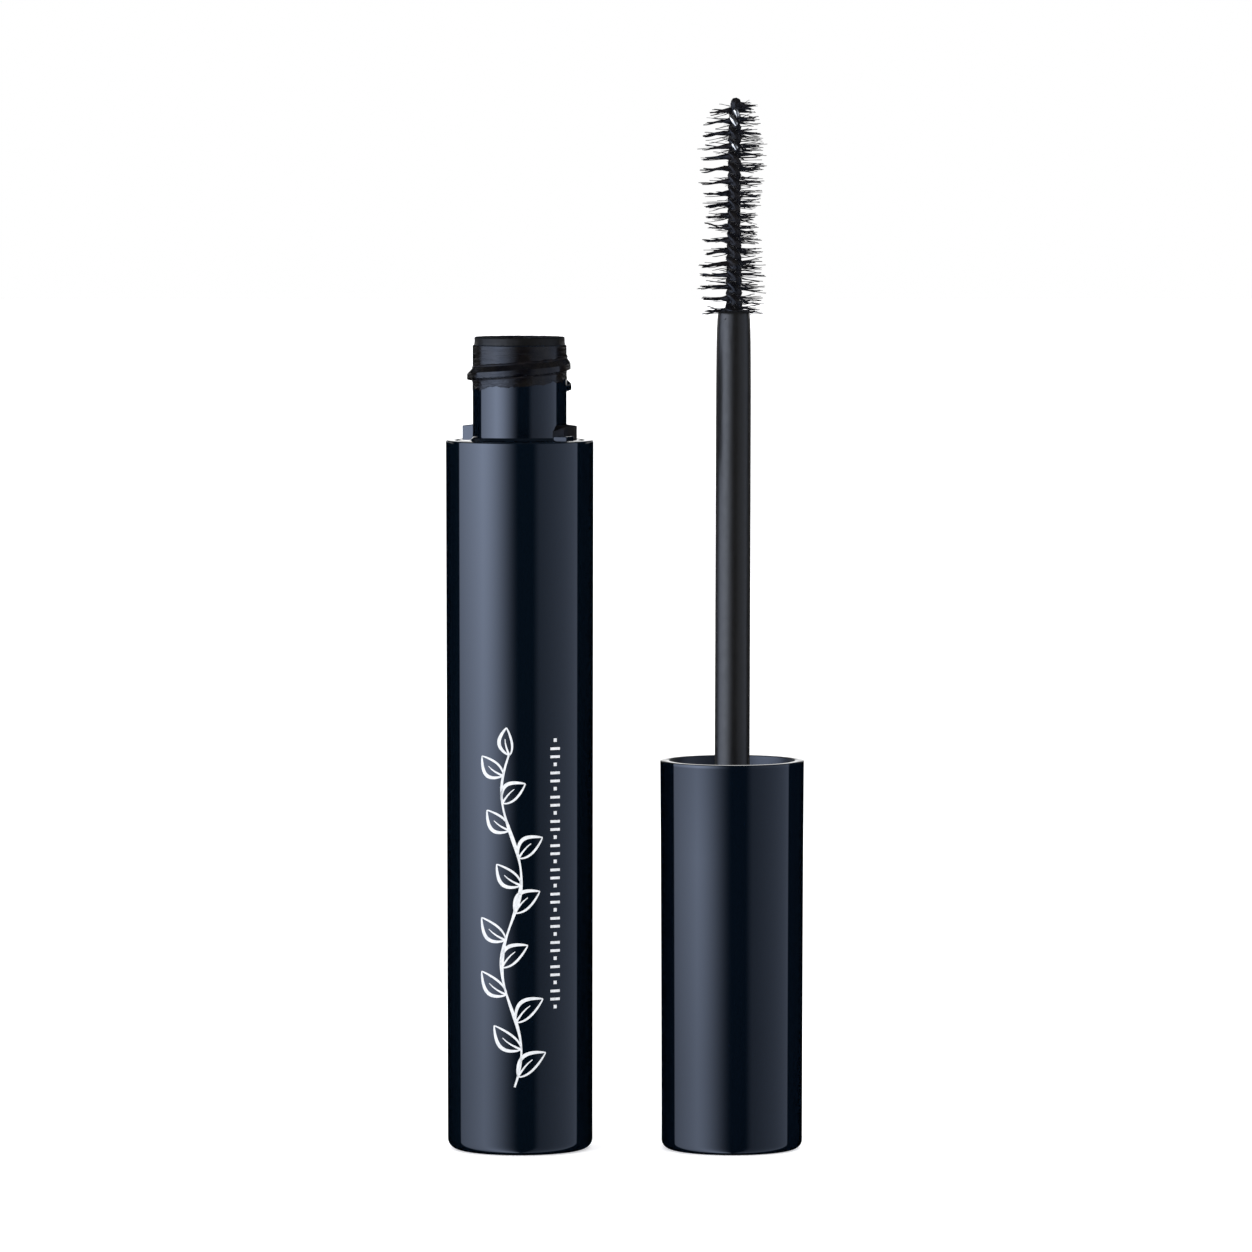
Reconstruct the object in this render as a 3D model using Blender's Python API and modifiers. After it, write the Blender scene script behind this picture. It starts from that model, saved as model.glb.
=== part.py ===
"""Mascara tube, opened: the bottle stands upright and the cap, with its brush up, stands beside it.

Units are metres, +Z is up.  The origin is the centre of the bottle's base, and the cap's axis is
parallel to the bottle's at AXIS_GAP along +X.  The neck and the cap carry one right-hand thread.
"""

import math

import bmesh
import bpy
from mathutils import Vector

MM = 0.001

# Driving dimensions, in millimetres.
AXIS_GAP = 24.5           # bottle axis to cap axis
BOTTLE_HEIGHT = 82.0      # base to the top of the sleeve's rim
SLEEVE_TOP_R = 8.5
SLEEVE_BASE_R = 8.37
SLEEVE_BORE_R = 7.3
SLEEVE_FLOOR = 1.3
EDGE_FILLET = 1.2
NECK_TOP = 93.0
NECK_R = 5.4
NECK_BORE_R = 4.5
RESERVOIR_R = 7.0
RESERVOIR_WALL = 0.7
RESERVOIR_FLOOR = 3.2
WIPER_TOP = 94.0
WIPER_FLANGE_R = 5.2
WIPER_MOUTH_R = 3.7
WIPER_ORIFICE_R = 2.25
FILL_TOP = 67.8
FILL_CHANNEL_R = 4.4
CAP_HEIGHT = 45.0
CAP_RIM_R = 8.31
CAP_END_R = 8.13
CAP_BORE_R = 7.15
CAP_FLOOR = 1.4
SKIRT_EDGE = 43.1
SKIRT_R = 6.95
SKIRT_BORE_R = 6.25
PLATE_TOP = 31.95
PLATE_THICK = 1.65
SEAL_FACE = 33.05
BOSS_R = 3.4
BOSS_END = 17.5
ROD_R = 2.02
ROD_END_R = 1.85
ROD_TOP = 96.9
ROD_ROOT = 18.8
ROD_BORE_DEPTH = 6.3
THREAD_PITCH = 2.5
NECK_RIDGE_Z = 88.1       # height of the neck's ridge where it crosses azimuth 0
NECK_RIDGE_R = 0.52
SKIRT_RIDGE_R = 0.45
SEATED_HEIGHT = 127.15    # bottle base to cap end when the cap is screwed home
LUG_R = 6.6
LUG_HEIGHT = 1.7
STOP_TOOTH = 0.9
BRUSH_ROOT = 97.4
BRUSH_END = 119.6
BRUSH_BULGE_R = 4.2
BRUSH_WAIST_R = 3.2
BRUSH_BULGE_Z = 114.0
BRUSH_BULGE_SPACING = 13.6
TWIST_PITCH = 2.6
FIBRE_SHEET = 0.32
CORE_R = 0.95
CORE_BORE_R = 0.74
WIRE_R = 0.29
WIRE_OFFSET = 0.36
WIRE_TOP = 120.3
TIP_TOP = 121.3

OUTER_STEPS = 48          # facets round the pieces seen from outside
INNER_STEPS = 36          # facets round the pieces hidden inside


def clear_scene():
    for obj in list(bpy.data.objects):
        bpy.data.objects.remove(obj)


def new_collection(name):
    collection = bpy.data.collections.new(name)
    bpy.context.scene.collection.children.link(collection)
    return collection


def plastic(name, colour, roughness, metallic=0.0):
    material = bpy.data.materials.new(name)
    material.use_nodes = True
    shader = material.node_tree.nodes["Principled BSDF"]
    shader.inputs["Base Color"].default_value = (*colour, 1.0)
    shader.inputs["Roughness"].default_value = roughness
    shader.inputs["Metallic"].default_value = metallic
    return material


def add_object(name, mesh, collection, material=None, x=0.0):
    obj = bpy.data.objects.new(name, mesh)
    obj.location.x = x * MM
    collection.objects.link(obj)
    if material:
        mesh.materials.append(material)
    return obj


def arc(centre_r, centre_z, radius, start_deg, end_deg, count=4):
    """Points on a round corner of a profile, angles measured from +r towards +z."""
    points = []
    for i in range(count + 1):
        angle = math.radians(start_deg + (end_deg - start_deg) * i / count)
        points.append((centre_r + radius * math.cos(angle), centre_z + radius * math.sin(angle)))
    return points


def turned(name, profile, collection, material=None, x=0.0, steps=OUTER_STEPS, closed=False):
    """A solid of revolution: the profile is (r, z) pairs that run down its outer side."""
    mesh = bpy.data.meshes.new(name)
    count = len(profile)
    edges = [(i, i + 1) for i in range(count - 1)]
    if closed:
        edges.append((count - 1, 0))
    mesh.from_pydata([(r * MM, 0.0, z * MM) for r, z in profile], edges, [])
    obj = add_object(name, mesh, collection, material, x)
    screw = obj.modifiers.new("Turn", "SCREW")
    screw.steps = steps
    screw.render_steps = steps
    screw.use_merge_vertices = True
    screw.merge_threshold = 0.00001
    return obj


def hide_cutter(obj):
    obj.hide_render = True
    obj.display_type = "WIRE"


def boolean(obj, other, operation):
    modifier = obj.modifiers.new(operation.title(), "BOOLEAN")
    modifier.operation = operation
    modifier.object = other
    modifier.solver = "EXACT"


def tube(name, points, radius, collection, material=None, x=0.0, radii=None):
    """A closed tube through a list of points, made a mesh so that it can be cut or joined."""
    curve = bpy.data.curves.new(name, "CURVE")
    curve.dimensions = "3D"
    curve.bevel_depth = radius * MM
    curve.bevel_resolution = 2
    curve.use_fill_caps = True
    spline = curve.splines.new("POLY")
    spline.points.add(len(points) - 1)
    for i, point in enumerate(points):
        spline.points[i].co = (point[0] * MM, point[1] * MM, point[2] * MM, 1.0)
        if radii:
            spline.points[i].radius = radii[i]
    guide = bpy.data.objects.new(name + "_guide", curve)
    guide.location.x = x * MM
    collection.objects.link(guide)
    evaluated = guide.evaluated_get(bpy.context.evaluated_depsgraph_get())
    mesh = bpy.data.meshes.new_from_object(evaluated)
    weld = bmesh.new()
    weld.from_mesh(mesh)
    bmesh.ops.remove_doubles(weld, verts=weld.verts, dist=0.000001)
    weld.to_mesh(mesh)
    weld.free()
    mesh.name = name
    obj = add_object(name, mesh, collection, material)
    obj.matrix_world = guide.matrix_world
    bpy.data.objects.remove(guide)
    return obj


def loft(name, sections, collection, x=0.0):
    """A closed solid through sections that have the same number of corners, in order."""
    shape = bmesh.new()
    rings = [[shape.verts.new(corner * MM) for corner in section] for section in sections]
    sides = len(rings[0])
    for lower, upper in zip(rings, rings[1:]):
        for i in range(sides):
            j = (i + 1) % sides
            shape.faces.new((lower[i], lower[j], upper[j], upper[i]))
    shape.faces.new(rings[0][::-1])
    shape.faces.new(rings[-1])
    bmesh.ops.recalc_face_normals(shape, faces=shape.faces)
    mesh = bpy.data.meshes.new(name)
    shape.to_mesh(mesh)
    shape.free()
    return add_object(name, mesh, collection, x=x)


def sector_section(azimuth_deg, inner_r, outer_r, low_z, high_z):
    """The four corners of a radial slice of a ring segment."""
    angle = math.radians(azimuth_deg)
    out = Vector((math.cos(angle), math.sin(angle), 0.0))
    corners = ((inner_r, low_z), (outer_r, low_z), (outer_r, high_z), (inner_r, high_z))
    return [out * r + Vector((0.0, 0.0, z)) for r, z in corners]


def thread_ridge(name, radius, height_at_zero, start_deg, end_deg, ridge_r, collection, x=0.0):
    """One right-hand ridge whose ends run out, as a tube half sunk in its wall."""
    runout_deg = 25.0
    step_deg = 15.0
    count = round((end_deg - start_deg) / step_deg)
    points = []
    radii = []
    for i in range(count + 1):
        azimuth = start_deg + (end_deg - start_deg) * i / count
        angle = math.radians(azimuth)
        height = height_at_zero + THREAD_PITCH * azimuth / 360.0
        points.append((radius * math.cos(angle), radius * math.sin(angle), height))
        to_end = min(azimuth - start_deg, end_deg - azimuth)
        radii.append(max(0.25, min(1.0, to_end / runout_deg)))
    ridge = tube(name, points, ridge_r, collection, x=x, radii=radii)
    hide_cutter(ridge)
    return ridge


def make_sleeve(parts, material):
    rim_chamfer = 0.15
    bore_draft = 0.1
    profile = [(0.0, SLEEVE_FLOOR), (SLEEVE_BORE_R - bore_draft, SLEEVE_FLOOR),
               (SLEEVE_BORE_R, BOTTLE_HEIGHT - rim_chamfer),
               (SLEEVE_BORE_R + rim_chamfer, BOTTLE_HEIGHT),
               (SLEEVE_TOP_R - rim_chamfer, BOTTLE_HEIGHT),
               (SLEEVE_TOP_R, BOTTLE_HEIGHT - rim_chamfer)]
    profile += arc(SLEEVE_BASE_R - EDGE_FILLET, EDGE_FILLET, EDGE_FILLET, 0.0, -90.0)
    profile.append((0.0, 0.0))
    turned("bottle_sleeve", profile, parts, material)


def make_lug(name, start_deg, cutters):
    """A stop lug on the shoulder: a short steep ramp at start_deg, a square stop face at the end."""
    foot_z = BOTTLE_HEIGHT - 0.5
    inner_r = NECK_R - 0.4
    ramp_foot = 0.35 * LUG_HEIGHT
    sections = []
    for turn_deg, height in ((0.0, ramp_foot), (5.0, LUG_HEIGHT), (15.0, LUG_HEIGHT),
                             (30.0, LUG_HEIGHT), (45.0, LUG_HEIGHT)):
        top_z = BOTTLE_HEIGHT + height
        sections.append(sector_section(start_deg + turn_deg, inner_r, LUG_R, foot_z, top_z))
    lug = loft(name, sections, cutters)
    hide_cutter(lug)
    return lug


def make_reservoir(parts, cutters, material):
    bore_r = RESERVOIR_R - RESERVOIR_WALL
    bore_corner = 0.8
    bore_top = BOTTLE_HEIGHT - 3.1
    neck_bore_low = BOTTLE_HEIGHT - 1.3
    lip_chamfer = 0.15
    foot_fillet = 0.5
    shoulder_r = SLEEVE_BORE_R - 0.2
    shoulder_low = BOTTLE_HEIGHT - 1.2
    base_z = 1.6
    base_chamfer = 0.6
    profile = [(0.0, RESERVOIR_FLOOR), (bore_r - bore_corner, RESERVOIR_FLOOR),
               (bore_r, RESERVOIR_FLOOR + bore_corner), (bore_r, bore_top),
               (NECK_BORE_R, neck_bore_low), (NECK_BORE_R, NECK_TOP),
               (NECK_R - lip_chamfer, NECK_TOP), (NECK_R, NECK_TOP - lip_chamfer)]
    profile += arc(NECK_R + foot_fillet, BOTTLE_HEIGHT + foot_fillet, foot_fillet, 180.0, 270.0, count=2)
    profile += [(shoulder_r, BOTTLE_HEIGHT), (shoulder_r, shoulder_low),
                (RESERVOIR_R, shoulder_low - 0.2), (RESERVOIR_R, base_z + base_chamfer),
                (RESERVOIR_R - base_chamfer, base_z), (0.0, base_z)]
    reservoir = turned("reservoir", profile, parts, material)
    ridge_centre_r = NECK_R + 0.06
    ridge = thread_ridge("neck_ridge", ridge_centre_r, NECK_RIDGE_Z, -15.0, 405.0, NECK_RIDGE_R, cutters)
    boolean(reservoir, ridge, "UNION")
    for side, start_deg in (("front", -50.0), ("back", 130.0)):
        boolean(reservoir, make_lug("lug_" + side, start_deg, cutters), "UNION")


def make_wiper(parts, material):
    plug_r = NECK_BORE_R - 0.2
    cone_top = 86.5
    cone_end = 82.4
    wall = 0.45
    edge = 0.15
    mouth_corner = 0.4
    flange_low = NECK_TOP + 0.05
    profile = [(WIPER_ORIFICE_R, cone_end), (WIPER_ORIFICE_R, cone_end + wall),
               (WIPER_MOUTH_R, cone_top + wall), (WIPER_MOUTH_R, WIPER_TOP - mouth_corner),
               (WIPER_MOUTH_R + mouth_corner, WIPER_TOP), (WIPER_FLANGE_R - edge, WIPER_TOP),
               (WIPER_FLANGE_R, WIPER_TOP - edge), (WIPER_FLANGE_R, flange_low),
               (plug_r, flange_low), (plug_r, cone_top), (WIPER_ORIFICE_R + wall, cone_end)]
    turned("wiper", profile, parts, material, steps=INNER_STEPS, closed=True)


def make_fill(parts, material):
    """The paste, with the channel that the brush has left down its middle."""
    gap = 0.3
    fill_r = RESERVOIR_R - RESERVOIR_WALL - gap
    floor_z = RESERVOIR_FLOOR + gap
    channel_floor = 5.2
    corner = 0.5
    profile = [(0.0, channel_floor), (FILL_CHANNEL_R - corner, channel_floor),
               (FILL_CHANNEL_R, channel_floor + corner), (FILL_CHANNEL_R, FILL_TOP - 0.3),
               (FILL_CHANNEL_R + corner, FILL_TOP - 0.6), (fill_r, FILL_TOP),
               (fill_r, floor_z + 0.9), (fill_r - 0.7, floor_z), (0.0, floor_z)]
    turned("mascara_fill", profile, parts, material, steps=INNER_STEPS)


def make_cap_shell(parts, material):
    chamfer = 0.12
    fillet = 1.0
    profile = [(0.0, CAP_FLOOR), (CAP_BORE_R - 0.1, CAP_FLOOR), (CAP_BORE_R, CAP_HEIGHT - chamfer),
               (CAP_BORE_R + chamfer, CAP_HEIGHT), (CAP_RIM_R - chamfer, CAP_HEIGHT),
               (CAP_RIM_R, CAP_HEIGHT - chamfer)]
    profile += arc(CAP_END_R - fillet, fillet, fillet, 0.0, -90.0)
    profile.append((0.0, 0.0))
    turned("cap_shell", profile, parts, material, x=AXIS_GAP)


def make_rib(name, turn_deg, cutters):
    """A radial rib that centres the boss in the shell."""
    length = SKIRT_R - 3.0
    low_z = BOSS_END + 2.5
    high_z = PLATE_TOP - PLATE_THICK + 0.3
    angle = math.radians(turn_deg)
    mid_r = 3.0 + length / 2.0
    bpy.ops.mesh.primitive_cube_add(size=1.0)
    rib = bpy.context.object
    rib.name = name
    rib.scale = (length * MM, 0.8 * MM, (high_z - low_z) * MM)
    rib.rotation_euler.z = angle
    rib.location = ((AXIS_GAP + mid_r * math.cos(angle)) * MM, mid_r * math.sin(angle) * MM,
                    (low_z + high_z) / 2.0 * MM)
    for collection in list(rib.users_collection):
        collection.objects.unlink(rib)
    cutters.objects.link(rib)
    hide_cutter(rib)
    return rib


def make_stop_tooth(name, start_deg, cutters):
    """A tooth on the skirt's edge that meets a shoulder lug when the cap is home."""
    width_deg = 58.0
    sections = []
    for i in range(5):
        azimuth = start_deg + width_deg * i / 4.0
        sections.append(sector_section(azimuth, SKIRT_BORE_R + 0.1, SKIRT_R - 0.1,
                                       SKIRT_EDGE - 0.4, SKIRT_EDGE + STOP_TOOTH))
    tooth = loft(name, sections, cutters, x=AXIS_GAP)
    hide_cutter(tooth)
    return tooth


def make_inner_cap(parts, cutters, material):
    boss_bore_r = ROD_R + 0.28
    plate_low = PLATE_TOP - PLATE_THICK
    profile = [(0.0, BOSS_END + 0.9), (boss_bore_r, BOSS_END + 0.9), (boss_bore_r, PLATE_TOP),
               (SKIRT_BORE_R, PLATE_TOP), (SKIRT_BORE_R, SKIRT_EDGE), (SKIRT_R, SKIRT_EDGE),
               (SKIRT_R, plate_low), (BOSS_R, plate_low), (BOSS_R - 0.1, BOSS_END), (0.0, BOSS_END)]
    inner_cap = turned("inner_cap", profile, parts, material, x=AXIS_GAP, steps=INNER_STEPS)
    # The ridge sits half a pitch below the neck's ridge when the cap is home, so in this
    # upside-down rest position its height is counted from the seated cap's end.
    ridge_z = SEATED_HEIGHT - NECK_RIDGE_Z
    ridge = thread_ridge("skirt_ridge", SKIRT_BORE_R + 0.02, ridge_z, -185.0, 115.0, SKIRT_RIDGE_R,
                         cutters, x=AXIS_GAP)
    boolean(inner_cap, ridge, "UNION")
    for i in range(4):
        boolean(inner_cap, make_rib("rib_%d" % (i + 1), 45.0 + 90.0 * i, cutters), "UNION")
    for side, start_deg in (("near", 125.0), ("far", -55.0)):
        boolean(inner_cap, make_stop_tooth("stop_tooth_" + side, start_deg, cutters), "UNION")


def make_neck_seal(parts, material):
    low_z = PLATE_TOP + 0.3
    outer_r = SKIRT_BORE_R - 0.25
    inner_r = 3.0
    profile = [(inner_r, low_z), (inner_r, SEAL_FACE), (outer_r - 0.1, SEAL_FACE),
               (outer_r, SEAL_FACE - 0.1), (outer_r, low_z)]
    turned("neck_seal", profile, parts, material, x=AXIS_GAP, steps=INNER_STEPS, closed=True)


def make_rod(parts, material):
    flange_r = 2.75
    flange_low = PLATE_TOP + 0.3
    profile = [(0.0, ROD_TOP - ROD_BORE_DEPTH), (CORE_BORE_R, ROD_TOP - ROD_BORE_DEPTH),
               (CORE_BORE_R, ROD_TOP), (ROD_END_R - 0.35, ROD_TOP), (ROD_END_R, ROD_TOP - 0.3),
               (ROD_R - 0.08, ROD_TOP - 2.0), (ROD_R, ROD_TOP - 9.0), (ROD_R, SEAL_FACE),
               (flange_r, SEAL_FACE - 0.1), (flange_r, flange_low), (ROD_R, flange_low),
               (ROD_R, ROD_ROOT + 0.3), (ROD_R - 0.3, ROD_ROOT), (0.0, ROD_ROOT)]
    turned("rod", profile, parts, material, x=AXIS_GAP, steps=INNER_STEPS)


def wire_leg(first_z, last_z, side, count):
    """Points up one leg of the left-hand twisted pair."""
    points = []
    for i in range(count + 1):
        z = first_z + (last_z - first_z) * i / count
        angle = -2.0 * math.pi * (z - BRUSH_ROOT) / TWIST_PITCH
        points.append((side * WIRE_OFFSET * math.cos(angle), side * WIRE_OFFSET * math.sin(angle), z))
    return points


def make_twisted_wire(parts, material):
    """One wire, bent double at the brush's tip, whose two legs are twisted together."""
    foot_z = ROD_TOP - ROD_BORE_DEPTH + 0.4
    shoulder_z = WIRE_TOP - WIRE_R - WIRE_OFFSET
    points_a_turn = 7
    count = round((shoulder_z - foot_z) / TWIST_PITCH * points_a_turn)
    points = wire_leg(foot_z, shoulder_z, 1.0, count)
    bend_start = Vector(points[-1])
    across = Vector((bend_start.x, bend_start.y, 0.0)).normalized()
    for i in range(1, 4):
        angle = math.pi * i / 4.0
        bend = across * (WIRE_OFFSET * math.cos(angle))
        points.append((bend.x, bend.y, shoulder_z + WIRE_OFFSET * math.sin(angle)))
    points += wire_leg(foot_z, shoulder_z, -1.0, count)[::-1]
    tube("twisted_wire", points, WIRE_R, parts, material, x=AXIS_GAP)


def brush_radius(z):
    """Outline of the brush: two bulges with a waist between them."""
    wave = 0.5 + 0.5 * math.cos(2.0 * math.pi * (z - BRUSH_BULGE_Z) / BRUSH_BULGE_SPACING)
    return BRUSH_WAIST_R + (BRUSH_BULGE_R - BRUSH_WAIST_R) * wave


def make_fin(name, start_deg, cutters):
    """One of the two spiral rows of fibres, trimmed to the brush's outline."""
    steps_a_turn = 14
    margin = FIBRE_SHEET
    rise = BRUSH_END - BRUSH_ROOT - 2.0 * margin
    count = round(rise / TWIST_PITCH * steps_a_turn)
    inner_r = (CORE_BORE_R + CORE_R) / 2.0
    sections = []
    for i in range(count + 1):
        z = BRUSH_ROOT + margin + rise * i / count
        azimuth = start_deg - 360.0 * (z - BRUSH_ROOT) / TWIST_PITCH
        low_z = z - FIBRE_SHEET / 2.0
        high_z = z + FIBRE_SHEET / 2.0
        sections.append(sector_section(azimuth, inner_r, brush_radius(z), low_z, high_z))
    fin = loft(name, sections, cutters, x=AXIS_GAP)
    hide_cutter(fin)
    return fin


def make_bristles(parts, cutters, material):
    """The fibres as two left-hand spiral fins on a thin core round the wire."""
    profile = [(CORE_BORE_R, BRUSH_ROOT), (CORE_BORE_R, BRUSH_END), (CORE_R, BRUSH_END),
               (CORE_R, BRUSH_ROOT)]
    bristles = turned("bristles", profile, parts, material, x=AXIS_GAP, steps=14, closed=True)
    for row, start_deg in (("a", 90.0), ("b", 270.0)):
        boolean(bristles, make_fin("fin_" + row, start_deg, cutters), "UNION")


def make_residue(parts, material):
    """A ring of paste on the rod, as the wiper's edge leaves it."""
    inner_r = ROD_R + 0.13
    outer_r = inner_r + 0.3
    low_z = 36.0
    high_z = 36.7
    profile = [(inner_r, low_z), (inner_r, high_z), (outer_r - 0.08, high_z - 0.1),
               (outer_r, low_z + 0.3), (outer_r - 0.08, low_z + 0.05)]
    turned("stem_residue", profile, parts, material, x=AXIS_GAP, steps=24, closed=True)


def make_tip_dab(parts, material):
    """A dab of paste that covers the wire's bend at the brush's tip."""
    bore_r = CORE_BORE_R + 0.02
    dab_r = CORE_R + 0.05
    low_z = BRUSH_END + 0.3
    dome_z = TIP_TOP - 0.6
    profile = [(0.0, WIRE_TOP + 0.25), (bore_r - 0.3, WIRE_TOP + 0.15), (bore_r, WIRE_TOP - 0.1),
               (bore_r, low_z), (dab_r, low_z), (dab_r, dome_z), (dab_r * 0.7, TIP_TOP - 0.18),
               (0.0, TIP_TOP)]
    turned("tip_dab", profile[::-1], parts, material, x=AXIS_GAP, steps=16)


def main():
    clear_scene()
    parts = new_collection("mascara_tube")
    cutters = new_collection("cutters")
    navy = plastic("navy_gloss", (0.008, 0.010, 0.020), 0.12)
    cap_navy = plastic("cap_navy_gloss", (0.008, 0.010, 0.020), 0.12)
    neck_navy = plastic("neck_navy", (0.010, 0.012, 0.022), 0.18)
    black = plastic("black_satin", (0.012, 0.012, 0.014), 0.38)
    inner_black = plastic("inner_black", (0.020, 0.020, 0.024), 0.45)
    wiper_black = plastic("wiper_black", (0.018, 0.018, 0.020), 0.55)
    seal_grey = plastic("seal_grey", (0.22, 0.22, 0.23), 0.60)
    paste = plastic("mascara_paste", (0.006, 0.006, 0.008), 0.30)
    fibre = plastic("black_fibre", (0.010, 0.010, 0.012), 0.45)
    steel = plastic("wire_steel", (0.55, 0.55, 0.57), 0.28, metallic=1.0)

    make_sleeve(parts, navy)
    make_reservoir(parts, cutters, neck_navy)
    make_wiper(parts, wiper_black)
    make_fill(parts, paste)
    make_cap_shell(parts, cap_navy)
    make_inner_cap(parts, cutters, inner_black)
    make_neck_seal(parts, seal_grey)
    make_rod(parts, black)
    make_twisted_wire(parts, steel)
    make_bristles(parts, cutters, fibre)
    make_residue(parts, paste)
    make_tip_dab(parts, paste)


main()
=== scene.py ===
"""Looks of the opened mascara tube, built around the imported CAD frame.

The bottle stands at x = 0 and the upturned cap, with its rod and brush, at x = CAP_X.  Lengths in
the functions below are millimetres; mesh coordinates are metres.
"""

import math
import random

import bmesh
import bpy
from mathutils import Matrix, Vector, noise


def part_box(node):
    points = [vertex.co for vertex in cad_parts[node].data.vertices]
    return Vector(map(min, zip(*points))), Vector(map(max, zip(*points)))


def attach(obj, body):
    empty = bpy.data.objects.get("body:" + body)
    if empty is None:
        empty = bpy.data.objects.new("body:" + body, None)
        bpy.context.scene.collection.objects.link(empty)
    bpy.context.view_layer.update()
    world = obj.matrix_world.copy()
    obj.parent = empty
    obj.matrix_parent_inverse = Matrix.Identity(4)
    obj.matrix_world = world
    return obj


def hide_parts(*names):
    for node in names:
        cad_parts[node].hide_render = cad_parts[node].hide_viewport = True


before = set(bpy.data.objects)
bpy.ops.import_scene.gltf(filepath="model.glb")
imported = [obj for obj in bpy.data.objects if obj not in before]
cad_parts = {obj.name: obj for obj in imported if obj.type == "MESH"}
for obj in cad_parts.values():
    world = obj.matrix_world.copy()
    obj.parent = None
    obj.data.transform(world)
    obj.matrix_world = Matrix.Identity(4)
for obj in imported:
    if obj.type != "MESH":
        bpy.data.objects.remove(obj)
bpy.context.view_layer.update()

MM = 0.001


def box_mm(node):
    """A CAD node's lowest and highest corners, in millimetres."""
    low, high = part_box(node)
    return low / MM, high / MM


sleeve_low, sleeve_high = box_mm("bottle_sleeve")
neck_low, neck_high = box_mm("reservoir")
wiper_low, wiper_high = box_mm("wiper")
cap_low, cap_high = box_mm("cap_shell")
inner_low, inner_high = box_mm("inner_cap")
rod_low, rod_high = box_mm("rod")
fibre_low, fibre_high = box_mm("bristles")
tip_high = box_mm("tip_dab")[1]

CAP_X = (cap_low.x + cap_high.x) / 2.0
RIM_Z = sleeve_high.z
SLEEVE_R = (sleeve_high.x - sleeve_low.x) / 2.0
SLEEVE_BASE_R = SLEEVE_R - 0.13
NECK_TOP = neck_high.z
NECK_R = 5.4
NECK_BORE_R = 4.5
SHOULDER_R = (neck_high.y - neck_low.y) / 2.0
LIP_TOP = wiper_high.z
LIP_R = (wiper_high.x - wiper_low.x) / 2.0
CAP_TOP = cap_high.z
CAP_RIM_R = (cap_high.x - cap_low.x) / 2.0
CAP_END_R = CAP_RIM_R - 0.18
CAP_BORE_R = 7.15
SKIRT_EDGE = 43.1
SKIRT_R = (inner_high.x - inner_low.x) / 2.0
SKIRT_BORE_R = SKIRT_R - 0.7
ROD_TOP = rod_high.z
ROD_R = 2.02
BRUSH_ROOT = fibre_low.z
BRUSH_END = fibre_high.z
TIP_TOP = tip_high.z
THREAD_PITCH = 2.5
BURIED = 0.3               # how far a piece on the neck's wall goes into it
RIDGE_Z = 88.1             # the neck's ridge at azimuth 0
RIDGE_START, RIDGE_STOP = -15.0, 405.0
TWIST_PITCH = 2.71
ROW_Z = 119.92             # height where a row of fibres passes the left side
UNPOLISHED = 0.42          # roughness of a moulding's inner wall
ROD_LEAN = 0.16            # how far the rod's end stands to the right of the cap's axis
BRUSH_LEAN = 0.24          # the same for the brush's tip


# ---------------------------------------------------------------- mesh helpers

def link(name, mesh, material, body, replaced=(), mirrored=False):
    """Puts a finished mesh in the scene as a piece that rides on a CAD body.

    Bottle and cap are lit apart, so only pieces with mirrored set show in other pieces' gloss.
    """
    obj = bpy.data.objects.new(name, mesh)
    bpy.context.scene.collection.objects.link(obj)
    mesh.materials.append(material)
    obj.visible_glossy = mirrored
    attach(obj, body)
    if replaced:
        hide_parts(*replaced)
    return obj


def smooth(mesh, sharp_deg=35.0):
    """Shades a mesh smooth, apart from edges sharper than the angle."""
    mesh.polygons.foreach_set("use_smooth", [True] * len(mesh.polygons))
    mesh.set_sharp_from_angle(angle=math.radians(sharp_deg))


def from_bmesh(name, shape, sharp_deg):
    """Turns a bmesh into a shaded mesh and frees it."""
    mesh = bpy.data.meshes.new(name)
    shape.to_mesh(mesh)
    shape.free()
    smooth(mesh, sharp_deg)
    return mesh


def around(r, azimuth):
    """The x and y of a point at a radius and an azimuth in degrees, from an axis at 0."""
    angle = math.radians(azimuth)
    return r * math.cos(angle), r * math.sin(angle)


def arc(centre_r, centre_z, radius, start_deg, end_deg, count=8):
    """Points on a round corner of a profile, with angles from +r towards +z."""
    points = []
    for i in range(count + 1):
        angle = math.radians(start_deg + (end_deg - start_deg) * i / count)
        points.append((centre_r + radius * math.cos(angle), centre_z + radius * math.sin(angle)))
    return points


def turned(name, profile, segments, x=0.0, change=None, loop=False, sharp_deg=35.0):
    """A turned mesh.  change(azimuth_deg, r, z) may move a point's radius and height."""
    count = len(profile)
    verts = []
    rings = []
    for r, z in profile:
        if r <= 0.0:
            rings.append([len(verts)] * segments)
            verts.append((x * MM, 0.0, z * MM))
            continue
        ring = []
        for j in range(segments):
            azimuth = 360.0 * j / segments
            rr, zz = change(azimuth, r, z) if change else (r, z)
            px, py = around(rr, azimuth)
            ring.append(len(verts))
            verts.append(((x + px) * MM, py * MM, zz * MM))
        rings.append(ring)
    faces = []
    for i in range(count if loop else count - 1):
        upper, lower = rings[i], rings[(i + 1) % count]
        for j in range(segments):
            k = (j + 1) % segments
            corners = (upper[j], lower[j], lower[k], upper[k])
            face = tuple(dict.fromkeys(corners))
            if len(face) > 2:
                faces.append(face)
    mesh = bpy.data.meshes.new(name)
    mesh.from_pydata(verts, [], faces)
    mesh.validate()
    smooth(mesh, sharp_deg)
    return mesh


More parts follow.
